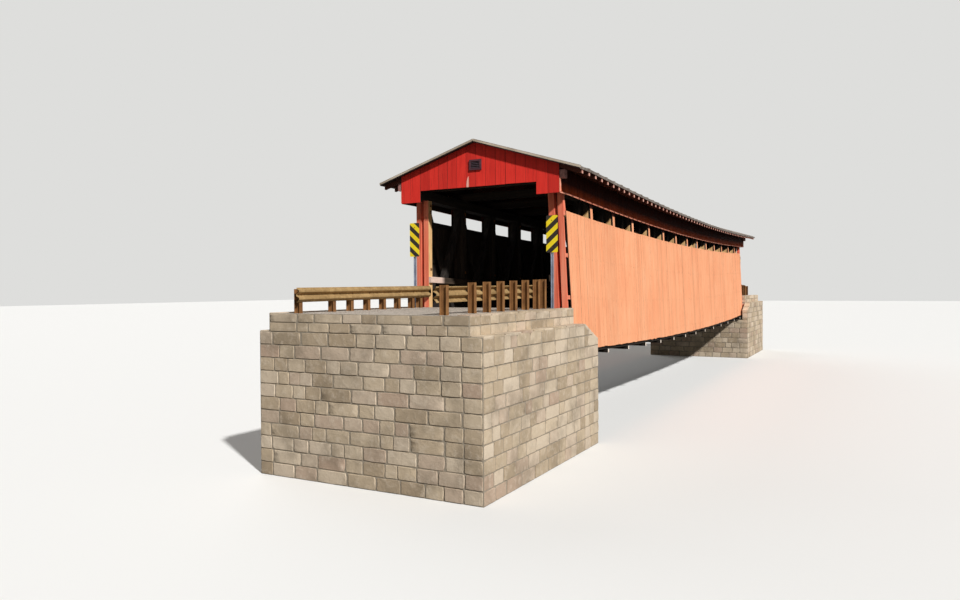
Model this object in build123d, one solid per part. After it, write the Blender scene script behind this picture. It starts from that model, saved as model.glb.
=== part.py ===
from build123d import *
import math
import os

# Covered bridge: two plank-sided timber trusses on stone abutments, under a low gable roof.
# X runs across the road, Y along it with the near portal at -Y, and Z up.
# Heights below are measured from the road deck at the portals, and sizes are in millimetres.
# The left-hand truss is upright; the right-hand one leans in, so its foot stands further out.

# Driving dimensions of the bridge as a whole
panel_count = 14
panel_length = 1935.0
end_post_depth = 180.0
sag_depth = 242.0
deck_height = 3500.0

# Floor, from the deck down to the chords
deck_thickness = 90.0
stringer_depth = 330.0
stringer_width = 100.0
stringer_count = 7
stringer_margin = 200.0
floor_beam_depth = 300.0
floor_beam_width = 250.0
deck_side_gap = 5.0
cross_tie_size = 100.0
cross_tie_overhang = 60.0

# Truss, from the road outwards, with widths taken at the tie beams' level
truss_inner = 1770.0
inner_leaf = 155.0
counter_layer = 90.0
outer_leaf = 95.0
right_lean = 0.045
lower_chord_depth = 420.0
upper_chord_depth = 250.0
post_width = 180.0
main_brace_width = 190.0
counter_brace_width = 160.0
tie_level = 3180.0
guard_timber_thickness = 75.0
guard_timber_depth = 160.0
guard_timber_level = 680.0

# Side walls
girt_thickness = 50.0
girt_depth = 100.0
girt_rows = 4
girt_margin = 10.0
end_board_width = 25.0
end_board_wing = 180.0
end_board_head = 130.0
end_board_head_drop = 190.0
siding_thickness = 25.0
siding_setback = 150.0
siding_end_slant = 110.0
siding_above_chord_bottom = 90.0
slot_height = 379.0
slot_board_width = 190.0
slot_board_lap = 120.0

# Eave band and gables
band_offset = 121.0
band_drop = 354.0
band_rail_thickness = 60.0
band_rail_depth = 140.0
board_thickness = 25.0
gable_overhang = 518.0
gable_ear_width = 613.0
lintel_drop = 48.0
vent_width = 345.0
vent_height = 270.0
vent_depth = 40.0
vent_frame = 45.0
vent_recess = 22.0
vent_above_lintel = 420.0

# Roof
tie_beam_depth = 200.0
tie_beam_width = 180.0
tie_beam_overhang = 124.0
plate_width = 200.0
plate_rise = 110.0
rafter_depth = 120.0
rafter_width = 85.0
rafter_pitch = 480.0
rafter_inset = 40.0
roof_thickness = 35.0
roof_slope = 0.3155
eave_half_width = 2916.0
rake_overhang = 156.0
ridge_cap_width = 300.0
ridge_cap_thickness = 6.0
barge_thickness = 40.0
barge_depth = 28.0

# Abutments
abutment_half_width = 2750.0
abutment_top_half_width = 2470.0
abutment_ledge = 390.0
abutment_length = 5300.0
seat_length = 1000.0
backwall_gap = 30.0
bearing_block_depth = 200.0
bearing_block_length = 500.0
bearing_block_setback = 100.0
bearing_block_margin = 60.0
pedestal_margin = 60.0
cheek_clearance = 75.0
cheek_fall = 430.0

# Object markers beside each portal
marker_width = 305.0
marker_height = 914.0
marker_thickness = 3.0
marker_centre = 2022.0
marker_level = 1389.0
marker_distance = 316.0
marker_post_width = 70.0
marker_post_depth = 38.0
marker_post_wall = 5.0
marker_post_drop = 25.0

# Guard rails on the approaches
guard_post_depth = 150.0
guard_post_flange = 100.0
guard_post_flange_thickness = 8.0
guard_post_web = 7.0
guard_post_height = 735.0
guard_post_fall = 0.026
guard_post_tail_fall = 0.048
guard_post_inner = 1743.0
guard_post_first = 420.0
guard_post_row_start = 810.0
guard_post_pitch = 645.0
guard_post_row_count = 6
guard_post_wide_bay = 1105.0
left_post_drop = 30.0
rail_depth = 83.0
rail_height = 312.0
rail_thickness = 4.0
rail_top = 590.0
rail_fall = 0.008
rail_end_gap = 60.0
rail_tail = 150.0

# Levels and places that follow
span = panel_count * panel_length
half_span = span / 2
half_length = half_span + end_post_depth / 2
node_places = [-half_span + panel_length * k for k in range(panel_count + 1)]
stringer_level = -deck_thickness - stringer_depth
lower_chord_top = stringer_level - floor_beam_depth
lower_chord_bottom = lower_chord_top - lower_chord_depth
seat_level = lower_chord_bottom - bearing_block_depth
upper_chord_bottom = tie_level - upper_chord_depth
middle_inner = truss_inner + inner_leaf
middle_outer = middle_inner + counter_layer
truss_outer = middle_outer + outer_leaf
girt_outer = truss_outer + girt_thickness
siding_outer = girt_outer + siding_thickness
band_outer = siding_outer + band_offset
band_inner = band_outer - board_thickness
band_level = tie_level - band_drop
siding_top = band_level - slot_height
siding_bottom = lower_chord_bottom + siding_above_chord_bottom
gable_inner = half_length + gable_overhang - board_thickness
gable_outer = half_length + gable_overhang
roof_end = gable_outer + rake_overhang
tie_top = tie_level + tie_beam_depth
rafter_end = eave_half_width - rafter_inset
plate_edge_height = tie_top + plate_rise
ridge_level = plate_edge_height + rafter_depth + roof_thickness + roof_slope * truss_outer
guard_post_outer = guard_post_inner + guard_post_depth
shift_at_deck = right_lean * tie_level
shift_at_chord_top = right_lean * (tie_level - lower_chord_top)
shift_at_chord_bottom = right_lean * (tie_level - lower_chord_bottom)
shift_at_seat = right_lean * (tie_level - seat_level)


def sag(y):
    """How far the bridge has sunk at y: a parabola through the truss nodes, straight in each panel."""
    if abs(y) >= half_span:
        return 0.0
    panel = min(int((y + half_span) / panel_length), panel_count - 1)
    share = (y + half_span) / panel_length - panel
    at_nodes = [sag_depth * (1 - (node_places[k] / half_span) ** 2) for k in (panel, panel + 1)]
    return at_nodes[0] * (1 - share) + at_nodes[1] * share


def stations(start, end):
    """The places between two ends of a member where its line can bend: its ends and the nodes."""
    return [start] + [y for y in node_places if start + 1 < y < end - 1] + [end]


def sagged_line(level, start, end):
    """Points of a line that runs at one level above the deck and sinks with it."""
    return [(y, level - sag(y)) for y in stations(start, end)]


def side_panel(inner, outer, outline, lean=0.0):
    """A piece drawn in side view (y, z) that is as thick as from x = inner to x = outer.

    A leaning piece stands further out, by that share of the distance below the tie beams.
    """
    corners = [(inner + lean * (tie_level - z), y, z) for y, z in outline]
    face = make_face(Polyline(*corners, close=True))
    return Solid.extrude(face.faces()[0], Vector(outer - inner, 0, 0))


def sagged_panel(inner, outer, low, high, start, end, lean=0.0):
    """A straight-edged board or timber that follows the sag in side view."""
    outline = sagged_line(low, start, end) + sagged_line(high, start, end)[::-1]
    return side_panel(inner, outer, outline, lean)


def member_along(profile, places):
    """A member with one cross-section (x, z), carried along y through places (y, rise)."""
    sections = []
    for y, rise in places:
        loop = Polyline(*[(x, y, z + rise) for x, z in profile], close=True)
        sections.append(make_face(loop).faces()[0].outer_wire())
    return Solid.make_loft(sections, ruled=True)


def sagged_member(profile, start, end):
    """A member along the bridge whose cross-section sinks with the sag."""
    return member_along(profile, [(y, -sag(y)) for y in stations(start, end)])


def across(left_reach, right_reach, y, width, low, high):
    """A beam across the bridge that follows the slope at its place."""
    return sagged_panel(-left_reach, right_reach, low, high, y - width / 2, y + width / 2)


def left(shapes):
    """The left-hand copies of right-hand pieces."""
    return [shape.mirror(Plane.YZ) for shape in shapes]


def far(shapes):
    """The copies at the far portal of pieces made at the near one."""
    return [shape.mirror(Plane.XZ) for shape in shapes]


def write(name, shapes):
    """Write one sub-part, lifted so that the abutments stand on z = 0."""
    lifted = [shape.moved(Location((0, 0, deck_height))) for shape in shapes]
    whole = lifted[0] if len(lifted) == 1 else Compound(children=lifted)
    export_step(whole, f"parts/{name}.step")


def write_sides(name, shapes):
    """Write right-hand pieces and their mirror images as two sub-parts."""
    write(f"{name}_right", shapes)
    write(f"{name}_left", left(shapes))


def write_walls(name, make):
    """Write a wall's pieces as two sub-parts, leaning on the right and upright on the left."""
    write(f"{name}_right", make(right_lean))
    write(f"{name}_left", left(make(0.0)))


def truss_posts(lean):
    """One timber at each inner node, and two leaves with a slit between them at each end."""
    pieces = []
    for k, y in enumerate(node_places):
        at_end = k in (0, panel_count)
        width = end_post_depth if at_end else post_width
        leaves = ((truss_inner, middle_inner), (middle_outer, truss_outer))
        for low_x, high_x in leaves if at_end else ((truss_inner, truss_outer),):
            pieces.append(sagged_panel(low_x, high_x, lower_chord_top, upper_chord_bottom,
                                       y - width / 2, y + width / 2, lean))
    return pieces


def bay_ends(panel):
    """The clear bay between the two posts of a panel."""
    widths = [end_post_depth if k in (0, panel_count) else post_width for k in (panel, panel + 1)]
    return node_places[panel] + widths[0] / 2, node_places[panel + 1] - widths[1] / 2


def brace(panel, low_x, high_x, width, rises_inward, lean):
    """A diagonal from corner to corner of a bay, cut to fit the posts and the chords."""
    start, end = bay_ends(panel)
    bay = sagged_panel(low_x, high_x, lower_chord_top, upper_chord_bottom, start, end, lean)
    rises_along_y = rises_inward == (panel < panel_count / 2)
    foot_y, head_y = (start, end) if rises_along_y else (end, start)
    foot = Vector(0, foot_y, lower_chord_top - sag(foot_y))
    head = Vector(0, head_y, upper_chord_bottom - sag(head_y))
    along = (head - foot).normalized()
    aside = Vector(0, -along.Z, along.Y) * (width / 2)
    reach = along * width * 2
    corners = [foot - reach - aside, foot - reach + aside, head + reach + aside, head + reach - aside]
    strip = side_panel(low_x, high_x, [(c.Y, c.Z) for c in corners], lean)
    return (strip & bay).solids()[0]


def main_braces(lean):
    """Braces that rise towards mid-span, on the road side of the truss."""
    return [brace(panel, truss_inner, middle_inner, main_brace_width, True, lean)
            for panel in range(panel_count)]


def counter_braces(lean):
    """Braces that rise away from mid-span, just outside the main ones."""
    return [brace(panel, middle_inner, middle_outer, counter_brace_width, False, lean)
            for panel in range(panel_count)]


def lower_chord(lean):
    """The timber along the foot of a truss."""
    return [sagged_panel(truss_inner, truss_outer, lower_chord_bottom, lower_chord_top,
                         -half_length, half_length, lean)]


def upper_chord(lean):
    """The timber along the head of a truss, carried on to the gables."""
    return [sagged_panel(truss_inner, truss_outer, upper_chord_bottom, tie_level,
                         -gable_inner, gable_inner, lean)]


def guard_timber(lean):
    """The rail on the road side of a truss that keeps wheels off it."""
    return [sagged_panel(truss_inner - guard_timber_thickness, truss_inner,
                         guard_timber_level, guard_timber_level + guard_timber_depth,
                         -half_length, half_length, lean)]


def panel_middles():
    """The middle of each panel, where the floor beams cross."""
    return [y + panel_length / 2 for y in node_places[:-1]]


def floor_stringers():
    """Long timbers under the deck."""
    reach = truss_inner - stringer_margin
    spread = 2 * reach + shift_at_deck
    pieces = []
    for k in range(stringer_count):
        x = -reach + spread * k / (stringer_count - 1)
        pieces.append(sagged_panel(x - stringer_width / 2, x + stringer_width / 2,
                                   stringer_level, -deck_thickness, -half_length, half_length))
    return pieces


def tie_beams():
    """Beams across the truss tops at every node, and a longer one behind each gable."""
    reach = band_outer + tie_beam_overhang
    gable_place = gable_inner - tie_beam_width / 2
    beams = [(y, band_inner) for y in node_places] + [(-gable_place, reach), (gable_place, reach)]
    return [across(end, end, y, tie_beam_width, tie_level, tie_top) for y, end in beams]


def roof_underside(x):
    """Height of the rafters' top face at a distance x from the ridge line."""
    return ridge_level - roof_thickness - roof_slope * x


def wall_plates():
    """Timbers on the tie beams, bevelled to the rafters' slope."""
    outer = truss_outer
    inner = truss_outer - plate_width
    profile = [(inner, tie_top), (outer, tie_top),
               (outer, roof_underside(outer) - rafter_depth),
               (inner, roof_underside(inner) - rafter_depth)]
    right = sagged_member(profile, -gable_inner, gable_inner)
    return [right] + left([right])


def rafters():
    """Right-hand rafters from the ridge line to their plumb-cut tails."""
    profile = [(0, roof_underside(0)), (rafter_end, roof_underside(rafter_end)),
               (rafter_end, roof_underside(rafter_end) - rafter_depth),
               (0, roof_underside(0) - rafter_depth)]
    first = -gable_inner + rafter_width / 2
    bays = round(-2 * first / rafter_pitch)
    places = [first - 2 * first * k / bays for k in range(bays + 1)]
    return [sagged_member(profile, y - rafter_width / 2, y + rafter_width / 2) for y in places]


def roof_slab():
    """The right-hand half of the roof: boarding and sheet metal as one thickness."""
    profile = [(0, ridge_level), (eave_half_width, ridge_level - roof_slope * eave_half_width),
               (eave_half_width, roof_underside(eave_half_width)), (0, roof_underside(0))]
    return sagged_member(profile, -roof_end, roof_end)


def ridge_cap():
    """A bent metal strip over the ridge."""
    reach = ridge_cap_width / 2
    fall = roof_slope * reach
    profile = [(-reach, ridge_level - fall), (0, ridge_level), (reach, ridge_level - fall),
               (reach, ridge_level - fall + ridge_cap_thickness),
               (0, ridge_level + ridge_cap_thickness),
               (-reach, ridge_level - fall + ridge_cap_thickness)]
    return sagged_member(profile, -roof_end, roof_end)


def barge_board():
    """The pair of boards under the roof's near edge, as one bent piece."""
    profile = [(-rafter_end, roof_underside(rafter_end)), (0, roof_underside(0)),
               (rafter_end, roof_underside(rafter_end)),
               (rafter_end, roof_underside(rafter_end) - barge_depth),
               (0, roof_underside(0) - barge_depth),
               (-rafter_end, roof_underside(rafter_end) - barge_depth)]
    return member_along(profile, [(-roof_end, 0), (-roof_end + barge_thickness, 0)])


def gable():
    """The near gable: a boarded triangle with an ear at each side of the portal."""
    ear_inner = band_outer - gable_ear_width
    lintel = tie_level - lintel_drop
    profile = [(-band_outer, band_level), (-ear_inner, band_level), (-ear_inner, lintel),
               (ear_inner, lintel), (ear_inner, band_level), (band_outer, band_level),
               (band_outer, roof_underside(band_outer)), (0, roof_underside(0)),
               (-band_outer, roof_underside(band_outer))]
    return member_along(profile, [(-gable_outer, 0), (-gable_inner, 0)])


def gable_vent():
    """A shallow framed box on the near gable, with its middle set back."""
    low = tie_level - lintel_drop + vent_above_lintel
    middle = low + vent_height / 2
    block = Box(vent_width, vent_depth, vent_height)
    hollow = Box(vent_width - 2 * vent_frame, vent_recess, vent_height - 2 * vent_frame)
    hollow = hollow.moved(Location((0, -(vent_depth - vent_recess) / 2, 0)))
    vent = (block - hollow).solids()[0]
    return vent.moved(Location((0, -gable_outer - vent_depth / 2, middle)))


def eave_band():
    """Boards from above the slot up to the rafters, stopped short of the gable beams' ends."""
    step = gable_inner - tie_beam_width
    top = roof_underside(band_outer) - rafter_depth
    outline = sagged_line(band_level, -gable_inner, gable_inner)
    outline += [(gable_inner, tie_level), (step, tie_level)]
    outline += sagged_line(top, -step, step)[::-1]
    outline += [(-step, tie_level), (-gable_inner, tie_level)]
    return side_panel(band_inner, band_outer, outline)


def eave_rail():
    """The rail under the tie beam ends that the band's boards are nailed to."""
    return sagged_panel(band_inner - band_rail_thickness, band_inner,
                        tie_level - band_rail_depth, tie_level, -gable_inner, gable_inner)


def siding(lean):
    """The sheet of vertical boards on a side wall, whose ends draw in towards the foot."""
    head = half_length - siding_setback
    foot = head - siding_end_slant
    outline = sagged_line(siding_bottom, -foot, foot) + sagged_line(siding_top, -head, head)[::-1]
    return [side_panel(girt_outer, siding_outer, outline, lean)]


def slot_boards(lean):
    """The short boards that rise over each inner post and divide the slot under the eave."""
    top = band_level + slot_board_lap
    pieces = []
    for y in node_places[1:-1]:
        pieces.append(sagged_panel(girt_outer, siding_outer, siding_top, top,
                                   y - slot_board_width / 2, y + slot_board_width / 2, lean))
    return pieces


def girts(lean):
    """Rows of rails on the outside of the posts that carry the vertical boards."""
    lowest_top = lower_chord_top - girt_margin
    highest_top = siding_top - girt_margin
    reach = half_length - end_board_width
    pieces = []
    for row in range(girt_rows):
        top = lowest_top + (highest_top - lowest_top) * row / (girt_rows - 1)
        pieces.append(sagged_panel(truss_outer, girt_outer, top - girt_depth, top,
                                   -reach, reach, lean))
    return pieces


def end_post_boards(lean):
    """A board on the outside of each end post, with a wing that closes the end of the slot."""
    wing_level = siding_top - girt_margin
    head_level = upper_chord_bottom - end_board_head_drop
    outline = [(0, lower_chord_bottom), (end_board_width, lower_chord_bottom),
               (end_board_width, wing_level), (end_board_wing, wing_level),
               (end_board_head, head_level), (end_board_head, upper_chord_bottom),
               (0, upper_chord_bottom)]
    near = [side_panel(truss_outer, girt_outer, [(y - half_length, z) for y, z in outline], lean)]
    return near + far(near)


def abutment():
    """The near abutment: one stepped mass of masonry with a seat for the trusses and cheeks beside it."""
    face = -half_length - backwall_gap
    back = face - abutment_length
    front = face + seat_length
    mass = side_panel(-abutment_half_width, abutment_half_width,
                      [(back, -deck_height), (front, -deck_height), (front, seat_level),
                       (face, seat_level), (face, -abutment_ledge), (back, -abutment_ledge)])
    head = side_panel(-abutment_top_half_width, abutment_top_half_width,
                      [(back, -abutment_ledge), (face, -abutment_ledge), (face, 0), (back, 0)])
    cheek_inner = siding_outer + cheek_clearance
    cheek_outline = [(face, seat_level), (front, seat_level),
                     (front, -abutment_ledge - cheek_fall), (face, -abutment_ledge)]
    right_cheek = side_panel(cheek_inner + shift_at_seat, abutment_half_width, cheek_outline)
    left_cheek = side_panel(-abutment_half_width, -cheek_inner, cheek_outline)
    pedestal_reach = truss_inner - pedestal_margin
    pedestal = side_panel(-pedestal_reach, pedestal_reach + shift_at_deck,
                          [(face, seat_level), (-half_span, seat_level),
                           (-half_span, stringer_level), (face, stringer_level)])
    whole = mass + head + right_cheek + left_cheek + pedestal
    return whole.solids()[0]


def bearing_blocks():
    """Timber blocks on the seats, under the ends of the lower chords."""
    start = -half_length + bearing_block_setback
    end = start + bearing_block_length
    top = sagged_line(lower_chord_bottom, start, end)
    outline = [(start, seat_level), (end, seat_level)] + top[::-1]
    inner = truss_inner - bearing_block_margin + deck_side_gap
    outer = truss_outer + bearing_block_margin
    near = [side_panel(inner + shift_at_chord_bottom, outer + shift_at_chord_bottom, outline),
            side_panel(-outer, -inner, outline)]
    return near + far(near)


def marker_plate():
    """The striped sheet at the right of the near portal."""
    y = -half_length - marker_distance
    plate = Box(marker_width, marker_thickness, marker_height)
    return plate.moved(Location((marker_centre, y, marker_level + marker_height / 2))).solids()[0]


def marker_post():
    """A channel-section post behind the striped sheet, open towards it."""
    front = -half_length - marker_distance + marker_thickness / 2
    half = marker_post_width / 2
    slot = half - marker_post_wall
    web = marker_post_depth - marker_post_wall
    outline = [(-half, 0), (-slot, 0), (-slot, web), (slot, web), (slot, 0), (half, 0),
               (half, marker_post_depth), (-half, marker_post_depth)]
    loop = Polyline(*[(marker_centre + x, front + y, 0) for x, y in outline], close=True)
    height = marker_level + marker_height - marker_post_drop
    return Solid.extrude(make_face(loop).faces()[0], Vector(0, 0, height))


def guard_post_places():
    """Distance of each rail post from the portal, and the height of its top."""
    row = [guard_post_row_start + guard_post_pitch * k for k in range(guard_post_row_count)]
    close = [(d, guard_post_height - guard_post_fall * d) for d in [guard_post_first] + row]
    last = row[-1] + guard_post_wide_bay
    return close + [(last, close[-1][1] - guard_post_tail_fall * guard_post_wide_bay)]


def low_post_places():
    """The left-hand posts stand in the same places and stop just under the rail's top."""
    return [(d, rail_top - rail_fall * d - left_post_drop) for d, height in guard_post_places()]


def guard_post(distance, height):
    """An I-section steel post on the right of the near approach."""
    y = -half_length - distance
    half = guard_post_flange / 2
    web = guard_post_web / 2
    inner, outer = guard_post_inner, guard_post_outer
    flange = guard_post_flange_thickness
    outline = [(inner, -half), (inner + flange, -half), (inner + flange, -web), (outer - flange, -web),
               (outer - flange, -half), (outer, -half), (outer, half), (outer - flange, half),
               (outer - flange, web), (inner + flange, web), (inner + flange, half), (inner, half)]
    loop = Polyline(*[(x, y + dy, 0) for x, dy in outline], close=True)
    return Solid.extrude(make_face(loop).faces()[0], Vector(0, 0, height))


def thick_line(points, thickness):
    """A closed outline around a bent strip: the points, and the same points set back."""
    backs = []
    for k, (x, z) in enumerate(points):
        before = points[max(k - 1, 0)]
        after = points[min(k + 1, len(points) - 1)]
        normals = []
        for (x0, z0), (x1, z1) in ((before, (x, z)), ((x, z), after)):
            length = math.hypot(x1 - x0, z1 - z0)
            if length > 0:
                normals.append(((z1 - z0) / length, -(x1 - x0) / length))
        n0, n1 = normals[0], normals[-1]
        scale = thickness / (1 + n0[0] * n1[0] + n0[1] * n1[1])
        backs.append((x + (n0[0] + n1[0]) * scale, z + (n0[1] + n1[1]) * scale))
    return points + backs[::-1]


def guard_rail():
    """The two-wave steel beam on the road side of the near right posts."""
    middle = rail_top - rail_height / 2
    wave = [(0.00, 0.06), (1.00, 0.19), (1.00, 0.31), (0.12, 0.44), (0.12, 0.50)]
    depth = rail_depth - rail_thickness
    upper = [(guard_post_inner - rail_thickness - depth * d, rail_height * h) for d, h in wave]
    lower = [(x, -h) for x, h in upper[::-1]]
    profile = [(x, middle + h) for x, h in thick_line(lower + upper, rail_thickness)]
    tail = guard_post_places()[-1][0] + rail_tail
    line = [(-half_length - tail, -rail_fall * tail),
            (-half_length - rail_end_gap, -rail_fall * rail_end_gap)]
    return member_along(profile, line)


os.makedirs("parts", exist_ok=True)

near_abutment = abutment()
write("near_abutment", [near_abutment])
write("far_abutment", far([near_abutment]))
write("bearing_blocks", bearing_blocks())

write_walls("lower_chord", lower_chord)
write_walls("upper_chord", upper_chord)
write_walls("truss_posts", truss_posts)
write_walls("main_braces", main_braces)
write_walls("counter_braces", counter_braces)
write_walls("guard_timber", guard_timber)

write("floor_beams", [across(truss_outer, truss_outer + shift_at_chord_top, y, floor_beam_width,
                             lower_chord_top, stringer_level) for y in panel_middles()])
cross_tie_reach = truss_outer + cross_tie_overhang
write("lower_cross_ties", [across(cross_tie_reach, cross_tie_reach + shift_at_chord_bottom, y,
                                  cross_tie_size, lower_chord_bottom - cross_tie_size,
                                  lower_chord_bottom) for y in panel_middles()])
write("floor_stringers", floor_stringers())
deck_reach = truss_inner - deck_side_gap
write("deck", [sagged_panel(-deck_reach, deck_reach + shift_at_deck, -deck_thickness, 0,
                            -half_length, half_length)])

write("siding_girts", girts(right_lean) + left(girts(0.0)))
write_walls("siding", siding)
write_walls("slot_boards", slot_boards)
write("end_post_boards", end_post_boards(right_lean) + left(end_post_boards(0.0)))

write("tie_beams", tie_beams())
write("wall_plates", wall_plates())
write_sides("rafters", rafters())
write_sides("roof", [roof_slab()])
write("ridge_cap", [ridge_cap()])
near_barge = [barge_board()]
write("barge_boards", near_barge + far(near_barge))
near_gable = [gable()]
write("near_gable", near_gable)
write("far_gable", far(near_gable))
near_vent = [gable_vent()]
write("gable_vents", near_vent + far(near_vent))
write_sides("eave_band", [eave_band()])
right_rail = [eave_rail()]
write("eave_rails", right_rail + left(right_rail))

right_plate = [marker_plate()]
near_plates = right_plate + left(right_plate)
write("marker_plates", near_plates + far(near_plates))
right_marker_post = [marker_post()]
near_marker_posts = right_marker_post + left(right_marker_post)
write("marker_posts", near_marker_posts + far(near_marker_posts))

high_posts = [guard_post(distance, height) for distance, height in guard_post_places()]
low_posts = [guard_post(distance, height) for distance, height in low_post_places()]
near_guard_posts = high_posts + left(low_posts)
write("near_guard_posts", near_guard_posts)
write("far_guard_posts", far(near_guard_posts))
right_guard_rail = [guard_rail()]
near_guard_rails = right_guard_rail + left(right_guard_rail)
write("near_guard_rails", near_guard_rails)
write("far_guard_rails", far(near_guard_rails))
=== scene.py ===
import math
import random

import bpy
from mathutils import Matrix, Vector


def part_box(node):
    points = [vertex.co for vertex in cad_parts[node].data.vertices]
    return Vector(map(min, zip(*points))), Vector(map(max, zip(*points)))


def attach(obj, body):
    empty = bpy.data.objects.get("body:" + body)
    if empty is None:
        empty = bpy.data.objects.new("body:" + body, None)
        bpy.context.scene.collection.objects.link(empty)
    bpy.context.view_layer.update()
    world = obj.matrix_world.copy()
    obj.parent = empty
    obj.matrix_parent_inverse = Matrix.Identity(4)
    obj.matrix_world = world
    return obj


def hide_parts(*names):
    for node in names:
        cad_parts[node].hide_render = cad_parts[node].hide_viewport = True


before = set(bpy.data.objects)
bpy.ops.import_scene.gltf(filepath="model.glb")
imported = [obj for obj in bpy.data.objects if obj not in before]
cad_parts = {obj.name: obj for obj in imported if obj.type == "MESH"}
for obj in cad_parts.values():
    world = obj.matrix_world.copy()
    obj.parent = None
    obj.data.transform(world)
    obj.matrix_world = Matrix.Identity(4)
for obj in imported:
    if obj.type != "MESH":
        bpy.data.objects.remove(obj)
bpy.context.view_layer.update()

# Sizes and levels of the bridge in metres, as in the part's source
DECK = 3.5
PANEL = 1.935
PANELS = 14
HALF_SPAN = PANEL * PANELS / 2
HALF_LENGTH = HALF_SPAN + 0.09
SAG = 0.242
LEAN = 0.045
TIE = DECK + 3.18
WALL_INNER, WALL_OUTER = 2.160, 2.185
WALL_FOOT, WALL_TOP = DECK - 1.05, DECK + 2.447
WALL_REACH = HALF_LENGTH - 0.15
WALL_END_SLANT = 0.11
MERLON_TOP = DECK + 2.946
MERLON_WIDTH = 0.19
BAND_INNER, BAND_OUTER = 2.281, 2.306
BAND_FOOT, BAND_TOP = DECK + 2.826, DECK + 3.4282
LIP_THICKNESS = 0.012
LIP_OUTER = BAND_OUTER + LIP_THICKNESS
GABLE_INNER, GABLE_OUTER = HALF_LENGTH + 0.493, HALF_LENGTH + 0.518
LINTEL = DECK + 3.132
EAR_INNER, EAR_SPLIT = 1.693, 2.0
VENT_FOOT, VENT_TOP, VENT_HALF_WIDTH = LINTEL + 0.420, LINTEL + 0.690, 0.1725
RIDGE = DECK + 4.3107
SLOPE = 0.3155
PITCH = math.atan(SLOPE)
EAVE = 2.916
ROOF_END = GABLE_OUTER + 0.156
ROOF_THICKNESS = 0.035
RAFTER_END = 2.876
TRUSS_FACE = 1.767
MARKER_PLACE, MARKER_DISTANCE = 2.022, HALF_LENGTH + 0.316
MARKER_FOOT, MARKER_SIZE = DECK + 1.389, (0.305, 0.003, 0.914)
RAIL_FOLD, RAIL_LEVEL, RAIL_FALL = 1.736, DECK + 0.434, 0.008
RAIL_POSTS = [0.42] + [0.81 + 0.645 * k for k in range(6)] + [5.14]
CORNERS = [(end, side) for end in (-1, 1) for side in (-1, 1)]
NODES = [-HALF_SPAN + PANEL * k for k in range(PANELS + 1)]
GIRT_LEVELS = [DECK + level for level in (-0.780, 0.2757, 1.3313, 2.387)]

# Where the sun reaches the right-hand truss through its slots, for the sunlight painted there, and where
# wheels run
SLOT_SIGHT = 2.3
SUNLIT_TRUSS = 1.85
SHADE_FALL = 0.86
WHEEL_TRACK = 0.78


def new_object(name, data):
    made = bpy.data.objects.new(name, data)
    bpy.context.scene.collection.objects.link(made)
    return made


# The camera stands where the photograph was taken from
camera_data = bpy.data.cameras.new("camera")
camera = new_object("camera", camera_data)
place = Matrix.Translation((9.023, -17.071 - HALF_LENGTH, DECK + 0.5))
yaw, pitch, roll = (Matrix.Rotation(math.radians(angle), 4, axis)
                    for angle, axis in ((28.316, "Z"), (90 - 0.875, "X"), (-0.336, "Z")))
camera.matrix_world = place @ yaw @ pitch @ roll
camera_data.sensor_width = 36
camera_data.lens = 731.631 / 960 * 36
bpy.context.scene.camera = camera


# Tools for modelling

def settle():
    """Leave edit mode and let go of everything."""
    if bpy.context.object and bpy.context.object.mode != "OBJECT":
        bpy.ops.object.mode_set(mode="OBJECT")
    bpy.ops.object.select_all(action="DESELECT")


def pick(*pieces):
    """Select these pieces alone, the first of them active."""
    settle()
    for piece in pieces:
        piece.select_set(True)
    bpy.context.view_layer.objects.active = pieces[0]


def hold_still(piece):
    """Put a piece's place, turn and size into its mesh."""
    pick(piece)
    bpy.ops.object.transform_apply(location=True, rotation=True, scale=True)
    return piece


def block(name, low, high):
    """A block between two corners, to be worked on."""
    settle()
    corners = [sorted(pair) for pair in zip(low, high)]
    bpy.ops.mesh.primitive_cube_add(size=1, location=[(a + b) / 2 for a, b in corners],
                                    scale=[b - a for a, b in corners])
    piece = bpy.context.object
    piece.name = name
    return hold_still(piece)


def edit(piece, chosen=None):
    """Open a piece with all of it selected, or only the faces that look a chosen way."""
    pick(piece)
    bpy.ops.object.mode_set(mode="EDIT")
    bpy.ops.mesh.select_mode(type="FACE")
    bpy.ops.mesh.select_all(action="DESELECT" if chosen else "SELECT")
    if chosen:
        bpy.ops.object.mode_set(mode="OBJECT")
        for face in piece.data.polygons:
            face.select = face.normal.dot(chosen) > 0.9
        bpy.ops.object.mode_set(mode="EDIT")


def plank(name, size, edge, finish=None):
    """A board or timber centred on the origin, with eased edges."""
    piece = block(name, [-s / 2 for s in size], [s / 2 for s in size])
    edit(piece)
    bpy.ops.mesh.bevel(offset=edge, segments=1, affect="EDGES")
    settle()
    if finish:
        piece.data.materials.append(finish)
    return piece


def round_head(vertices, radius, depth, rim, rise):
    """The head of a nail or bolt, facing +X, with its middle raised inside a rim."""
    settle()
    bpy.ops.mesh.primitive_cylinder_add(vertices=vertices, radius=radius, depth=depth,
                                        rotation=(0, math.pi / 2, 0))
    head = hold_still(bpy.context.object)
    edit(head, Vector((1, 0, 0)))
    bpy.ops.mesh.inset(thickness=rim)
    bpy.ops.transform.translate(value=(rise, 0, 0))
    settle()
    return head


def facing(direction):
    """The turn that makes a head look along +X or -X."""
    return 0, 0, 0 if direction > 0 else math.pi


def skewed(chance, degrees):
    """A small turn by chance about the upright axis."""
    return 0, 0, math.radians(chance.uniform(-degrees, degrees))


def discard(*pieces):
    for piece in pieces:
        bpy.data.objects.remove(piece, do_unlink=True)


def spot(centre, factors=(1, 1, 1), turn=(0, 0, 0), tone=0.5):
    """A place for a copy."""
    return centre, factors, turn, tone


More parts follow.
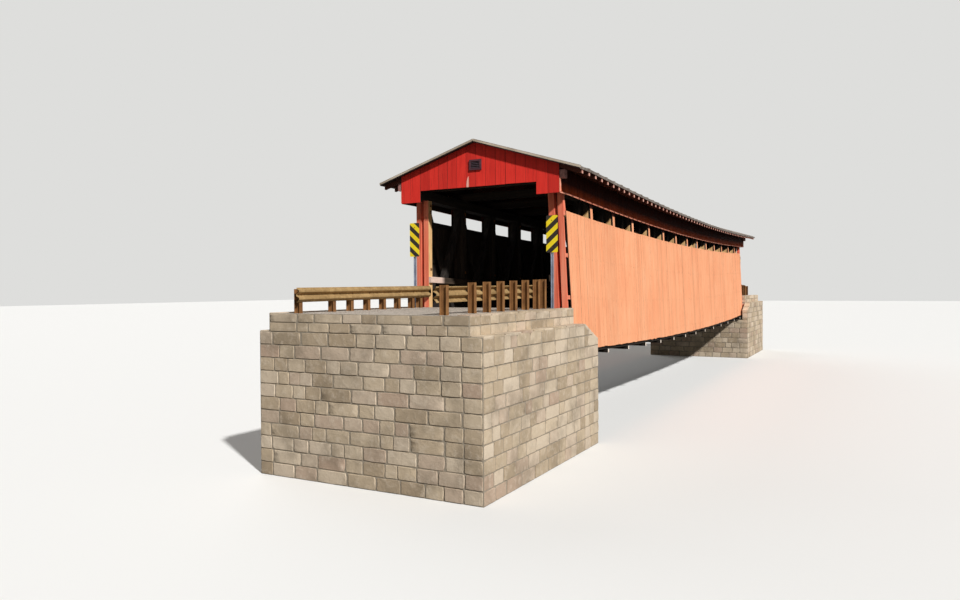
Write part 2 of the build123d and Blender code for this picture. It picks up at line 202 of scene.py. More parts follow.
def copies(name, model, places):
    """Copies of a model, one at each place, joined in one piece."""
    if "tone" not in model.data.attributes:
        model.data.attributes.new("tone", "FLOAT", "FACE")
    made = []
    for centre, factors, turn, tone in places:
        twin = new_object(name, model.data.copy())
        twin.location, twin.scale, twin.rotation_euler = centre, factors, turn
        twin.data.attributes["tone"].data.foreach_set("value", [tone] * len(twin.data.polygons))
        made.append(twin)
    pick(*made)
    if len(made) > 1:
        bpy.ops.object.join()
    return hold_still(made[0])


def join(name, *pieces):
    pick(*pieces)
    bpy.ops.object.join()
    pieces[0].name = name
    return pieces[0]


def cut_at_nodes(piece):
    """Add an edge loop at every truss node, so that a long piece can bend there."""
    for y in NODES:
        edit(piece)
        bpy.ops.mesh.bisect(plane_co=(0, y, 0), plane_no=(0, 1, 0))
    settle()


def cut_off(piece, place, direction):
    """Cut away what lies beyond a plane and close the cut."""
    edit(piece)
    bpy.ops.mesh.bisect(plane_co=place, plane_no=direction, use_fill=True, clear_outer=True)
    settle()


def sag_at(y):
    """How far the bridge has sunk at a place along it, straight within each panel."""
    if abs(y) >= HALF_SPAN - 1e-6:
        return 0.0
    panel = min(int((y + HALF_SPAN) / PANEL), PANELS - 1)
    share = (y - NODES[panel]) / PANEL
    start, end = (SAG * (1 - (NODES[k] / HALF_SPAN) ** 2) for k in (panel, panel + 1))
    return start * (1 - share) + end * share


def cage(name, counts, scale, shift):
    """A lattice that bends pieces, shifting each of its points by a rule on its place."""
    settle()
    bpy.ops.object.add(type="LATTICE", location=(0, 0, 4))
    lattice = bpy.context.object
    lattice.name = name
    lattice.data.points_u, lattice.data.points_v, lattice.data.points_w = counts
    for way in "uvw":
        setattr(lattice.data, f"interpolation_type_{way}", "KEY_LINEAR")
    lattice.scale = scale
    for point in lattice.data.points:
        place = Vector([c * s for c, s in zip(point.co, scale)]) + Vector((0, 0, 4))
        moved = shift(place)
        point.co_deform = point.co + Vector([m / s for m, s in zip(moved, scale)])
    return lattice


sag_cage = cage("sag_cage", (2, PANELS + 1, 2), (8, HALF_SPAN * 2, 10), lambda p: (0, 0, -sag_at(p.y)))
lean_cage = cage("lean_cage", (2, 2, 2), (8, 50, 8), lambda p: (LEAN * (TIE - p.z), 0, 0))


def bend(piece, lattice):
    pick(piece)
    modifier = piece.modifiers.new(lattice.name, "LATTICE")
    modifier.object = lattice
    bpy.ops.object.modifier_apply(modifier=modifier.name)


def lay_on_bridge(piece, side=0):
    """Let a piece sink with the span, and lean with the right-hand wall."""
    bend(piece, sag_cage)
    if side > 0:
        bend(piece, lean_cage)


def fit(piece, finish, slot, *nodes):
    """Finish a piece, tie it to the bridge and say which solids it stands for."""
    if finish:
        piece.data.materials.clear()
        piece.data.materials.append(finish)
    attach(piece, "root")
    if nodes:
        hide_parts(*nodes)


# Finishes

def shade(red, green, blue):
    """A colour as a screen shows it, 0 to 255, in the renderer's own scale."""
    scaled = [c / 255 for c in (red, green, blue)]
    return tuple(c / 12.92 if c <= 0.04045 else ((c + 0.055) / 1.055) ** 2.4 for c in scaled) + (1,)


def feed(socket, value):
    """Link an output to a socket, or set the socket's own value."""
    if isinstance(value, bpy.types.NodeSocket):
        socket.id_data.links.new(value, socket)
    else:
        socket.default_value = value


def fill(node, values):
    """Feed a node's inputs by name."""
    for name, value in values.items():
        feed(node.inputs[name], value)


def new_node(tree, kind, *inputs, **settings):
    """A node with its settings, its first inputs fed."""
    node = tree.nodes.new(kind)
    for key, value in settings.items():
        setattr(node, key, value)
    for socket, value in zip(node.inputs, inputs):
        feed(socket, value)
    return node


def darker(colour, share):
    return tuple(c * share for c in shade(*colour)[:3]) + (1,)


class Finish:
    """A material in the making, with short ways to add to it; colours are as a screen shows them."""

    def __init__(self, name):
        self.material = bpy.data.materials.new(name)
        self.material.use_nodes = True
        self.tree = self.material.node_tree
        self.shader = self.tree.nodes["Principled BSDF"]
        self.object = self.add("ShaderNodeTexCoord").outputs["Object"]
        self.tone = self.add("ShaderNodeAttribute", attribute_name="tone").outputs["Fac"]
        spread = self.add("ShaderNodeVectorMath", self.tone, (31.0, 47.0, 53.0), operation="MULTIPLY")
        self.place = self.add("ShaderNodeVectorMath", self.object, spread.outputs[0]).outputs[0]
        self.colour = self.rough = self.relief = self.gloss = self.fine = self.streak = None

    def add(self, kind, *inputs, **settings):
        return new_node(self.tree, kind, *inputs, **settings)

    def sum(self, operation, a, b=0.0, c=0.0):
        return self.add("ShaderNodeMath", a, b, c, operation=operation).outputs[0]

    def above(self, value, limit):
        return self.sum("GREATER_THAN", value, limit)

    def below(self, value, limit):
        return self.sum("LESS_THAN", value, limit)

    def all_of(self, *tests):
        """One where every test is one."""
        met = tests[0]
        for test in tests[1:]:
            met = self.sum("MULTIPLY", met, test)
        return met

    def weigh(self, *parts):
        """Values added up, each with its weight."""
        total = 0.0
        for value, weight in parts:
            total = self.sum("MULTIPLY_ADD", value, weight, total)
        return total

    def axis(self, vector, name):
        return self.add("ShaderNodeSeparateXYZ", vector).outputs[name]

    def normal(self, name):
        return self.axis(self.add("ShaderNodeNewGeometry").outputs["Normal"], name)

    def across_road(self):
        """The distance from the middle of the road."""
        return self.sum("ABSOLUTE", self.axis(self.object, "X"))

    def from_mid_span(self):
        """The distance along the road from the middle of the span."""
        return self.sum("ABSOLUTE", self.axis(self.object, "Y"))

    def level_above_road(self):
        """The height above the road at this place, with the sag taken out."""
        along = self.sum("DIVIDE", self.axis(self.object, "Y"), HALF_SPAN)
        sunk = self.sum("MULTIPLY_ADD", self.sum("MULTIPLY", along, along), -SAG, SAG - DECK)
        return self.sum("ADD", self.axis(self.object, "Z"), sunk)

    def behind_slot(self):
        """One where the sun comes in through the right-hand slots, below the eave band's shade."""
        level = self.level_above_road()
        place = self.axis(self.object, "X")
        shade_line = self.sum("MULTIPLY_ADD", place, SHADE_FALL, BAND_FOOT - DECK - SHADE_FALL * LIP_OUTER)
        return self.all_of(self.above(level, SLOT_SIGHT), self.below(level, shade_line),
                           self.above(place, SUNLIT_TRUSS), self.above(self.normal("X"), -0.5))

    def looking_out(self, beyond):
        """One on the faces that look away from the road, further out than a distance."""
        outward = self.sum("MULTIPLY", self.normal("X"), self.axis(self.object, "X"))
        return self.all_of(self.above(outward, 1.3), self.above(self.across_road(), beyond))

    def indoors(self, name):
        """Nought on the faces that look away from the middle of the bridge along an axis, one elsewhere."""
        outward = self.sum("MULTIPLY", self.normal(name), self.axis(self.object, name))
        return self.below(outward, 0.5)

    def stretched(self, place, scale, turn=(0, 0, 0)):
        return self.add("ShaderNodeMapping", place, (0, 0, 0), turn, scale).outputs[0]

    def noise(self, scale, detail=4.0, rough=0.55, twist=0.0, place=None):
        """Soft noise from 0 to 1, on the object's own coordinates unless told otherwise."""
        node = self.add("ShaderNodeTexNoise", place or self.object)
        fill(node, {"Scale": scale, "Detail": detail, "Roughness": rough, "Distortion": twist})
        return node.outputs["Fac"]

    def cells(self, scale):
        node = self.add("ShaderNodeTexVoronoi", self.object, feature="F1")
        node.inputs["Scale"].default_value = scale
        return node.outputs["Distance"]

    def steps(self, factor, *stops):
        """A colour ramp: each stop is a position and a colour."""
        node = self.add("ShaderNodeValToRGB", factor)
        band = node.color_ramp
        while len(band.elements) < len(stops):
            band.elements.new(0.5)
        for element, (position, colour) in zip(band.elements, stops):
            element.position = position
            element.color = shade(*colour)
        return node.outputs["Color"]

    def between(self, factor, low, high, start=0.0, end=1.0):
        """Carry a factor from one range to another, held at its ends."""
        return self.add("ShaderNodeMapRange", factor, low, high, start, end).outputs["Result"]

    def mix(self, factor, a, b, blend="MIX"):
        node = self.add("ShaderNodeMix", factor, data_type="RGBA", blend_type=blend)
        for socket, colour in ((node.inputs[6], a), (node.inputs[7], b)):
            feed(socket, shade(*colour) if isinstance(colour, tuple) and len(colour) == 3 else colour)
        return node.outputs[2]

    def mottled(self, scale, dark, light):
        """A colour that changes in soft spots."""
        return self.steps(self.noise(scale), (0.3, dark), (0.7, light))

    def coat(self, where, colour):
        """Lay a colour over the one so far."""
        self.colour = self.mix(where, self.colour, colour)

    def done(self, colour, rough, relief=None, strength=0.4, depth=0.002, metal=0.0, gloss=0.5):
        if relief is not None:
            bump = self.add("ShaderNodeBump")
            fill(bump, {"Strength": strength, "Distance": depth, "Height": relief})
            feed(self.shader.inputs["Normal"], bump.outputs[0])
        fill(self.shader, {"Base Color": colour, "Roughness": rough, "Metallic": metal,
                           "Specular IOR Level": gloss})
        return self.material

    def close(self, strength=0.5, depth=0.003):
        """Finish a wooden surface with the colour, grain and gloss that it has by now."""
        return self.done(self.colour, self.rough, self.relief, strength, depth, gloss=self.gloss)


def grain(look, along, turn=(0, 0, 0)):
    """Fine grain and broad streaks that run along one axis, and its drying cracks."""
    stretch = [1.0, 1.0, 1.0]
    stretch["xyz".index(along)] = 0.05
    lined = look.stretched(look.place, stretch, turn)
    look.fine = look.noise(60.0, 6.0, 0.65, 0.3, place=lined)
    look.streak = look.noise(9.0, 3.0, 0.5, place=lined)
    return look.between(look.noise(22.0, 2.0, 0.5, 0.6, place=lined), 0.64, 0.68)


def painted_boards(name, dark, middle, light, bare, along="z", wear=0.70, contrast=0.12, inner=None,
                   gloss=0.3):
    """Old paint on rough-sawn boards: faded in streaks, worn to bare wood in places; unpainted inside and on
    the edges, in a dark wood colour that is also a painted shade.
    """
    look = Finish(name)
    crack = grain(look, along)
    patch = look.noise(0.8, 3.0)
    faded = look.weigh((look.fine, 0.45), (look.streak, 0.35), (patch, 0.20))
    look.colour = look.steps(faded, (0.38, dark), (0.5, middle), (0.62, light))
    board = look.steps(look.between(look.tone, 0.0, 0.5, 1.0 - contrast, 1.0),
                         (0.0, (0, 0, 0)), (1.0, (255, 255, 255)))
    look.colour = look.mix(1.0, look.colour, board, "MULTIPLY")
    worn = look.weigh((look.fine, 0.55), (patch, 0.45))
    look.coat(look.between(worn, wear, wear + 0.04, 0.0, 0.8), bare)
    look.coat(look.sum("MULTIPLY", crack, 0.45), darker(dark, 0.55))
    # Inside faces and board edges: raw wood, made dark as a painted shade for the inside of the bridge and
    # the gaps between boards
    if inner:
        look.coat(look.indoors(inner), look.steps(look.fine, (0.35, (36, 29, 24)), (0.65, (66, 54, 44))))
    look.rough = look.between(look.fine, 0.3, 0.7, 0.62, 0.88)
    look.relief = look.weigh((look.fine, 1.0), (crack, -0.6))
    look.gloss = gloss
    return look


def timber(name, dark, middle, light, along="z", turn=(0, 0, 0), cracks=0.7):
    """Rough-sawn timber that has darkened with age."""
    look = Finish(name)
    crack = grain(look, along, turn)
    faded = look.weigh((look.streak, 0.65), (look.fine, 0.35))
    look.colour = look.steps(faded, (0.38, dark), (0.52, middle), (0.66, light))
    look.coat(look.sum("MULTIPLY", crack, cracks), darker(dark, 0.3))
    look.rough = look.between(look.fine, 0.3, 0.7, 0.68, 0.92)
    look.relief = look.weigh((look.fine, 1.0), (crack, -1.2))
    look.gloss = 0.25
    return look


def wall_paint():
    """Faded paint, with the eave band's shadow painted dark across the tops of the tall boards."""
    look = painted_boards("wall_paint", (238, 154, 110), (248, 170, 124), (252, 182, 138),
                            (214, 172, 138), contrast=0.10, wear=0.72, inner="X")
    # Painted shadow of the eave band over the tops of the tall boards
    look.coat(look.between(look.level_above_road(), 2.72, 2.75), (96, 40, 30))
    return look.close()


def band_paint():
    """Brown-red at the foot, darkening to near black above: the eave's shadow, painted."""
    look = painted_boards("band_paint", (150, 56, 24), (186, 76, 34), (214, 98, 48), (150, 100, 70),
                            wear=0.72, contrast=0.3, inner="X", gloss=0.05)
    height = look.sum("SUBTRACT", look.level_above_road(), BAND_FOOT - DECK)
    # Painted shade of the eave, from the band's foot upward to near black
    look.coat(look.between(height, 0.02, 0.28, 0.0, 0.95), (20, 4, 4))
    return look.close()


# Aged timber colours made much darker than the grey-brown wood, a painted shade for the timbers inside the
# bridge and under the roof
SHADED_DARK_TIMBER = (28, 23, 19), (42, 35, 29), (60, 50, 42)
RED_TIMBER = (58, 30, 24), (84, 42, 32), (108, 58, 44)


# Timbers in the painted shade colours above
def shaded_dark_timber(name, along):
    return timber(name, *SHADED_DARK_TIMBER, along).close(0.7, 0.004)


def tan_in_sunlight(look, factor):
    """The tan that the timber shows in sunlight."""
    return look.steps(factor, (0.35, (206, 158, 104)), (0.65, (242, 200, 142)))


def brace_timber(name, turn):
    """Near black inside the bridge, a painted shade, and tan where the sun comes in through the slots, a
    painted sunlight on the same timber.
    """
    look = timber(name, (30, 26, 23), (46, 40, 36), (66, 59, 53), "z", turn)
    # Painted sunlight: tan only on faces the sun reaches through the slots, cut off along the line of the
    # eave band's shadow
    look.coat(look.behind_slot(), tan_in_sunlight(look, look.relief))
    return look.close(0.7, 0.004)


def girt_timber():
    """Rails behind the boards: dark, with paint on the ends that show beside the end posts."""
    look = timber("girt_timber", *SHADED_DARK_TIMBER, "y")
    paint = look.steps(look.relief, (0.3, (214, 116, 88)), (0.7, (244, 150, 118)))
    look.coat(look.above(look.from_mid_span(), HALF_SPAN - 0.25), paint)
    return look.close(0.6)


def cross_tie_timber():
    """The lowest beams: dark, with pale sawn ends that show below the boards."""
    look = timber("cross_tie_timber", *SHADED_DARK_TIMBER, "x")
    look.coat(look.looking_out(2.1), look.mottled(24.0, (226, 206, 186), (250, 238, 224)))
    return look.close(0.6)


def post_timber():
    """Truss posts: near black inside as a painted shade, tan where the sun comes in at the slots as a painted
    sunlight, and painted where the portals show them.
    """
    look = timber("post_timber", (38, 31, 26), (56, 47, 39), (78, 67, 56))
    paint = look.steps(look.streak, (0.35, (216, 104, 78)), (0.5, (242, 128, 98)), (0.65, (250, 150, 118)))
    tan = tan_in_sunlight(look, look.fine)
    sideways = look.above(look.sum("ABSOLUTE", look.normal("X")), 0.7)
    road_side = look.all_of(sideways, look.below(look.across_road(), 1.90))
    # Painted sunlight: tan where the sun reaches through the slots, below the eave band's shadow line
    look.coat(look.behind_slot(), tan)
    look.coat(look.above(look.from_mid_span(), HALF_SPAN - 0.17), look.mix(road_side, paint, tan))
    return look.close(0.6, 0.004)


def crossing_timber(name, tones, reach, *bleach):
    """Timbers across the bridge, their ends bleached beyond a distance from the middle of the road."""
    look = timber(name, *tones, "x")
    look.coat(look.above(look.across_road(), reach), look.mottled(*bleach))
    return look.close(0.6)


def guard_plank():
    """Dark rails along the road, with the sunlight that comes in at the portals painted pale on the left-hand
    one.
    """
    look = timber("guard_plank", (44, 35, 28), (64, 52, 42), (88, 72, 58), "y", cracks=0.5)
    near_portal = look.between(look.from_mid_span(), HALF_LENGTH - 0.75, HALF_LENGTH - 0.55)
    left_hand = look.below(look.axis(look.object, "X"), 0.0)
    painted_sunlight = look.steps(look.relief, (0.3, (206, 172, 154)), (0.7, (240, 214, 198)))
    # Painted sunlight: pale where the sun comes in through the portal, on the left-hand rail only
    look.coat(look.all_of(near_portal, left_hand), painted_sunlight)
    return look.close(0.6)


def deck_timber():
    """Road planks, greyer where wheels run."""
    look = timber("deck_timber", (92, 80, 68), (122, 108, 94), (148, 134, 118), "x", cracks=0.5)
    from_wheels = look.sum("ABSOLUTE", look.sum("SUBTRACT", look.across_road(), WHEEL_TRACK))
    look.coat(look.between(from_wheels, 0.12, 0.34, 0.55, 0.0), (92, 84, 76))
    look.coat(look.between(look.tone, 0.0, 1.0, 0.0, 0.35), (80, 68, 58))
    return look.close(0.6)


def rusted_steel(name, dark, middle, light):
    """Rolled steel under a fine, even coat of rust, with faint runs and a few darker blooms."""
    look = Finish(name)
    bloom = look.noise(4.0, 5.0, 0.6)
    runs = look.noise(22.0, 4.0, 0.6, place=look.stretched(look.object, (1.0, 1.0, 0.10)))
    pits = look.noise(140.0, 4.0, 0.75)
    rust = look.weigh((bloom, 0.35), (runs, 0.30), (pits, 0.35))
    colour = look.steps(rust, (0.38, dark), (0.5, middle), (0.62, light))
    speck = look.between(look.noise(60.0, 3.0, 0.6), 0.64, 0.70, 0.0, 0.5)
    colour = look.mix(speck, colour, (92, 48, 30))
    return look.done(colour, look.between(pits, 0.3, 0.7, 0.66, 0.92), pits, 0.3, 0.0008, gloss=0.3)


def galvanised_steel():
    look = Finish("galvanised_steel")
    spangle = look.cells(60.0)
    stain = look.weigh((spangle, 0.4), (look.noise(6.0, 3.0), 1.0))
    colour = look.steps(stain, (0.3, (128, 136, 152)), (0.6, (162, 170, 184)), (0.9, (186, 192, 204)))
    rough = look.between(spangle, 0.0, 0.8, 0.34, 0.55)
    return look.done(colour, rough, spangle, 0.1, 0.0005, metal=0.6)


def sheet_metal(name, dark, middle, light):
    """Weathered sheet with water stains that run down the slope."""
    look = Finish(name)
    run = look.noise(9.0, 4.0, 0.6, place=look.stretched(look.place, (0.12, 1.0, 0.12)))
    blotch = look.noise(1.6, 4.0)
    stain = look.weigh((run, 0.6), (blotch, 0.4))
    colour = look.steps(stain, (0.36, dark), (0.5, middle), (0.64, light))
    speck = look.between(look.noise(26.0, 3.0), 0.66, 0.72, 0.0, 0.6)
    colour = look.mix(speck, colour, (120, 78, 56))
    rough = look.between(stain, 0.35, 0.65, 0.38, 0.62)
    return look.done(colour, rough, blotch, 0.1, 0.004, metal=0.35)


def striped_sheet(start=0.078, period=0.293, slope=0.87):
    """Yellow and black stripes that slope down towards the road, slightly faded and scuffed."""
    look = Finish("striped_sheet")
    rise = look.sum("MULTIPLY_ADD", look.across_road(), -slope, look.axis(look.object, "Z"))
    band = look.sum("FRACT", look.sum("DIVIDE", look.sum("ADD", rise, start), period))
    wear = look.noise(9.0, 5.0)
    yellow = look.steps(wear, (0.3, (254, 216, 20)), (0.7, (255, 234, 44)))
    soot = look.steps(wear, (0.3, (26, 20, 14)), (0.7, (46, 36, 22)))
    colour = look.mix(look.below(band, 0.5), yellow, soot)
    return look.done(colour, look.between(wear, 0.3, 0.7, 0.35, 0.6), wear, 0.1, 0.0005)


def masonry():
    """Split stone, each block of its own colour, stained in patches."""
    look = Finish("stone_finish")
    rough_face = look.noise(7.0, 7.0, 0.65, place=look.place)
    grit = look.noise(48.0, 4.0, 0.7, place=look.place)
    colour = look.steps(look.tone, (0.0, (176, 156, 130)), (0.35, (204, 184, 156)),
                          (0.7, (216, 198, 174)), (1.0, (186, 160, 138)))
    dirt = look.between(look.noise(1.3, 5.0), 0.46, 0.66, 0.0, 0.5)
    colour = look.mix(dirt, colour, (126, 112, 94))
    colour = look.mix(look.between(rough_face, 0.5, 0.75, 0.0, 0.5), colour, (228, 212, 190))
    colour = look.mix(look.between(grit, 0.58, 0.72, 0.0, 0.4), colour, (120, 104, 86))
    relief = look.weigh((rough_face, 1.0), (grit, 0.25))
    return look.done(colour, look.between(grit, 0.3, 0.7, 0.8, 0.95), relief, 0.8, 0.02, gloss=0.2)


def mortar():
    """Joints between the stones, and the packed gravel between the abutments' walls."""
    look = Finish("mortar")
    grit = look.noise(60.0, 5.0, 0.7)
    pebble = look.cells(34.0)
    joint = look.steps(grit, (0.3, (136, 124, 108)), (0.7, (176, 164, 146)))
    gravel = look.steps(pebble, (0.0, (226, 214, 200)), (0.35, (198, 186, 172)), (0.7, (140, 130, 118)))
    flat = look.above(look.normal("Z"), 0.7)
    relief = look.sum("SUBTRACT", grit, look.sum("MULTIPLY", pebble, flat))
    return look.done(look.mix(flat, joint, gravel), 0.92, relief, 0.6, 0.008, gloss=0.2)


def louvre_metal():
    look = Finish("vent_finish")
    dust = look.noise(18.0, 4.0)
    colour = look.steps(dust, (0.35, (46, 38, 44)), (0.65, (72, 60, 68)))
    return look.done(colour, look.between(dust, 0.3, 0.7, 0.5, 0.75), dust, 0.2, 0.001)


wall_finish = wall_paint()
gable_finish = painted_boards("gable_paint", (206, 42, 33), (230, 50, 39), (238, 60, 47), (190, 110, 90),
                              wear=0.74, contrast=0.2, inner="Y").close()
band_finish = band_paint()
trim_finish = painted_boards("trim_paint", (64, 36, 44), (84, 50, 58), (104, 66, 72), (128, 108, 104),
                              along="x", wear=0.66).close()
# Near-black boards along the rakes: a painted shade for the shadow under the roof's edge
barge_painted_shade = painted_boards("barge_shade_paint", (22, 10, 12), (32, 15, 17), (46, 24, 25), (84, 66, 60),
                              along="x", wear=0.72).close()
lip_finish = painted_boards("lip_paint", (236, 140, 110), (248, 160, 130), (253, 182, 154), (210, 170, 145),
                            along="y").close()
raw_finish = timber("raw_wood", (226, 140, 124), (244, 164, 148), (252, 190, 174), cracks=0.2).close()
patch_finish = timber("bare_patch", (112, 58, 42), (140, 76, 56), (166, 98, 76)).close()
rail_finish = rusted_steel("rail_rust", (124, 98, 62), (160, 130, 86), (192, 162, 112))
post_rust = rusted_steel("post_rust", (94, 62, 36), (130, 90, 52), (160, 116, 70))
zinc_finish = galvanised_steel()
roof_finish = sheet_metal("roof_metal", (112, 98, 88), (146, 134, 124), (172, 162, 152))
edge_finish = sheet_metal("edge_metal", (170, 154, 134), (200, 184, 162), (220, 206, 186))
stripe_finish = striped_sheet()
stone_finish = masonry()
mortar_finish = mortar()
slat_finish = louvre_metal()
deck_finish = deck_timber()
lengthwise = shaded_dark_timber("lengthwise_timber", "y")
crosswise = shaded_dark_timber("crosswise_timber", "x")
under_roof = shaded_dark_timber("under_roof_boards", "y")
post_finish = post_timber()
brace_angle = math.atan2(1.755, 3.65)
main_brace_finish = brace_timber("main_brace_timber", (brace_angle, 0, 0))
counter_brace_finish = brace_timber("counter_brace_timber", (-brace_angle, 0, 0))
rafter_finish = crossing_timber("rafter_timber", RED_TIMBER, RAFTER_END - 0.008,
                                14.0, (204, 140, 122), (240, 190, 170))
guard_finish = guard_plank()
tie_finish = crossing_timber("tie_timber", SHADED_DARK_TIMBER, BAND_INNER - 0.011,
                             16.0, (140, 96, 92), (190, 142, 134))
girt_finish = girt_timber()
cross_tie_finish = cross_tie_timber()

SOLID_FINISHES = (
    (mortar_finish, "near_abutment far_abutment"),
    (lengthwise, "bearing_blocks lower_chord_left lower_chord_right upper_chord_left upper_chord_right"),
    (lengthwise, "floor_stringers wall_plates eave_rails"),
    (post_finish, "truss_posts_left truss_posts_right end_post_boards"),
    (main_brace_finish, "main_braces_left main_braces_right"),
    (counter_brace_finish, "counter_braces_left counter_braces_right"),
    (crosswise, "floor_beams"), (cross_tie_finish, "lower_cross_ties"), (tie_finish, "tie_beams"),
    (guard_finish, "guard_timber_left guard_timber_right"), (girt_finish, "siding_girts"),
    (rafter_finish, "rafters_left rafters_right"), (roof_finish, "ridge_cap"), (barge_painted_shade, "barge_boards"),
    (zinc_finish, "marker_posts"), (post_rust, "near_guard_posts far_guard_posts"),
)
for finish, nodes in SOLID_FINISHES:
    for node in nodes.split():
        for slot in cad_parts[node].material_slots:
            slot.material = finish


# Side walls

def wall_layout():
    """Board edges along a side wall: seven between each pair of tall boards over the posts."""
    boards = []
    edge = -WALL_REACH
    for y in NODES[1:-1] + [WALL_REACH + MERLON_WIDTH / 2]:
        stop = y - MERLON_WIDTH / 2
        width = (stop - edge) / 7
        boards += [(edge + width * k, edge + width * (k + 1), False) for k in range(7)]
        edge = y + MERLON_WIDTH / 2
        if y < WALL_REACH:
            boards.append((stop, edge, True))
    return boards


def side_wall(side, word):
    """The vertical boards of one side, with the tall ones that divide the slot, and their nails."""
    chance = random.Random(21 + side)
    thickness, width, height = WALL_OUTER - WALL_INNER, 0.232, 3.5
    board = plank("board", (thickness, width, height), 0.0025)
    nail = round_head(6, 0.006, 0.006, 0.002, 0.001)
    boards, nails = [], []
    for start, end, tall in wall_layout():
        middle = (start + end) / 2
        top = (MERLON_TOP if tall else WALL_TOP) + chance.uniform(-0.008, 0.004)
        foot = WALL_FOOT + chance.uniform(-0.010, 0.012)
        gap = chance.uniform(0.004, 0.012) + (0.010 if chance.random() < 0.15 else 0)
        x = (WALL_INNER + WALL_OUTER) / 2 + chance.uniform(-0.0015, 0.002)
        boards.append(spot((side * x, middle, (foot + top) / 2),
                           (1, (end - start - gap) / width, (top - foot) / height),
                           skewed(chance, 0.5), chance.random()))
        for girt in GIRT_LEVELS:
            for offset in (-0.075, 0.075):
                y = middle + offset + chance.uniform(-0.012, 0.012)
                if abs(y) < WALL_REACH - WALL_END_SLANT - 0.01:
                    centre = (side * (x + thickness / 2), y, girt + chance.uniform(-0.03, 0.03))
                    nails.append(spot(centre, turn=facing(side), tone=chance.random()))
    wall = copies(f"wall_boards_{word}", board, boards)
    for end in (-1, 1):
        slant = Vector((0, end * (WALL_TOP - WALL_FOOT), -WALL_END_SLANT)).normalized()
        cut_off(wall, (0, end * WALL_REACH, WALL_TOP), slant)
    lay_on_bridge(wall, side)
    fit(wall, wall_finish, "siding_paint", f"siding_{word}", f"slot_boards_{word}")
    heads = copies(f"wall_nails_{word}", nail, nails)
    lay_on_bridge(heads, side)
    fit(heads, post_rust, "rusted_steel")
    discard(board, nail)


def eave_band(side, word):
    """Short boards between the slot and the rafters, with a pale strip along their foot."""
    chance = random.Random(41 + side)
    width, height = 0.195, 0.6
    board = plank("board", (BAND_OUTER - BAND_INNER, width, height), 0.0025)
    step = GABLE_INNER - 0.18
    count = 140
    edges = [-GABLE_INNER] + [-step + 2 * step * k / count for k in range(count + 1)] + [GABLE_INNER]
    boards = []
    for start, end in zip(edges, edges[1:]):
        at_gable = start < -step - 0.01 or end > step + 0.01
        top = TIE if at_gable else BAND_TOP
        foot = BAND_FOOT + chance.uniform(-0.004, 0.004)
        x = (BAND_INNER + BAND_OUTER) / 2 + chance.uniform(-0.002, 0.001)
        boards.append(spot((side * x, (start + end) / 2, (foot + top) / 2),
                           (1, (end - start - chance.uniform(0.003, 0.009)) / width, (top - foot) / height),
                           skewed(chance, 0.4), chance.random()))
    band = copies(f"eave_boards_{word}", board, boards)
    lay_on_bridge(band)
    fit(band, band_finish, "band_paint", f"eave_band_{word}")
    middle = side * (BAND_OUTER + LIP_THICKNESS / 2)
    lip = plank("lip", (LIP_THICKNESS, GABLE_INNER * 2, 0.036), 0.002)
    lip.location = (middle, 0, BAND_FOOT + 0.012)
    hold_still(lip)
    cut_at_nodes(lip)
    corner = plank("corner", (LIP_THICKNESS, 0.09, 0.33), 0.002)
    corners = copies("corners", corner, [spot((middle, end * (GABLE_OUTER - 0.046), TIE - 0.171))
                                         for end in (-1, 1)])
    strip = join(f"eave_strip_{word}", lip, corners)
    lay_on_bridge(strip)
    fit(strip, lip_finish, "siding_paint")
    discard(board, corner)


# Gables

def gable(end, word):
    """Vertical boards cut to the roof line above and to the portal below."""
    chance = random.Random(61 + end)
    width, height = 0.28, 1.5
    board = plank("board", (width, GABLE_OUTER - GABLE_INNER, height), 0.0025)
    edges = [-BAND_OUTER, -EAR_SPLIT] + [EAR_INNER * (k / 6 - 1) for k in range(13)] + [EAR_SPLIT, BAND_OUTER]
    boards = []
    for start, stop in zip(edges, edges[1:]):
        ear = abs(start + stop) / 2 > EAR_INNER
        foot = (BAND_FOOT if ear else LINTEL) + chance.uniform(-0.004, 0.004)
        y = end * ((GABLE_INNER + GABLE_OUTER) / 2 + chance.uniform(-0.001, 0.002))
        boards.append(spot(((start + stop) / 2, y, foot + height / 2),
                           ((stop - start - chance.uniform(0.005, 0.012)) / width, 1, 1),
                           skewed(chance, 0.3), chance.random()))
    wall = copies(f"{word}_gable_boards", board, boards)
    for side in (-1, 1):
        cut_off(wall, (0, 0, RIDGE - ROOF_THICKNESS - 0.002), Vector((side * SLOPE, 0, 1)).normalized())
    fit(wall, gable_finish, "gable_paint", f"{word}_gable")
    discard(board)


def splinter():
    """A split at the foot of one gable board: a curved blade of raw wood beside a bare patch."""
    blade = block("blade", (-0.272, -GABLE_OUTER - 0.009, LINTEL - 0.002),
                  (-0.208, -GABLE_OUTER + 0.004, LINTEL + 0.07))
    edit(blade, Vector((0, 0, 1)))
    for shift, rise, narrower in ((0.004, 0.07, 0.86), (0.008, 0.07, 0.72), (0.013, 0.06, 0.3)):
        bpy.ops.mesh.extrude_region_move(TRANSFORM_OT_translate={"value": (shift, 0, rise)})
        bpy.ops.transform.resize(value=(narrower, 1, 1))
    settle()
    patch = block("patch", (-0.222, -GABLE_OUTER - 0.004, LINTEL),
                  (-0.186, -GABLE_OUTER + 0.003, LINTEL + 0.25))
    edit(patch, Vector((0, 0, 1)))
    bpy.ops.transform.resize(value=(0.4, 1, 1))
    settle()
    for piece, finish in ((blade, raw_finish), (patch, patch_finish)):
        edit(piece)
        bpy.ops.mesh.bevel(offset=0.0015, segments=1, affect="EDGES")
        settle()
        piece.data.materials.append(finish)
    fit(join("gable_splinter", blade, patch), None, "gable_paint")


